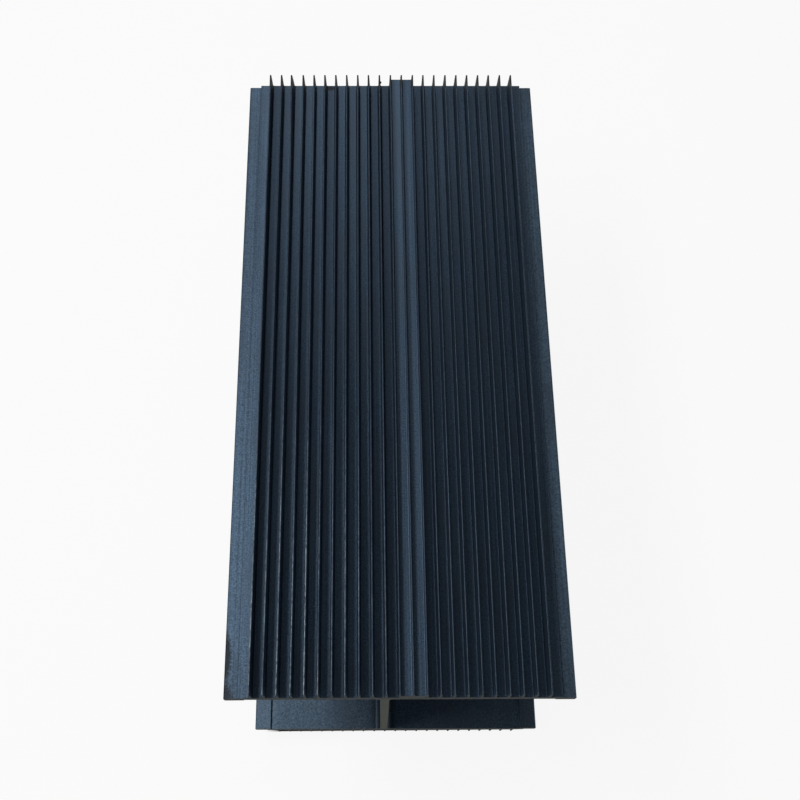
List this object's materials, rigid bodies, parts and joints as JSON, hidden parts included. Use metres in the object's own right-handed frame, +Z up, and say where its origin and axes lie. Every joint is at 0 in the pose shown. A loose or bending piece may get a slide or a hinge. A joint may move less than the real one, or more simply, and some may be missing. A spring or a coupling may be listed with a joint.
{
  "type": "extruded heat sink",
  "caption": "Dark anodised aluminium heat sink extrusion: finned plates above and below a thin offset web, with open bays between them.",
  "frame": {"origin": "middle of the footprint, on the surface that the lower fins stand on", "axes": "+Z up, +Y along the extrusion away from the end nearest the viewer, +X to the right"},
  "size_m": [0.1568, 0.332, 0.1624],
  "materials": {
    "anodised_aluminium": "black anodised, with a blue-grey satin sheen"
  },
  "bodies": {
    "root": {"heat_sink_extrusion": "anodised_aluminium"}
  },
  "joints": []
}
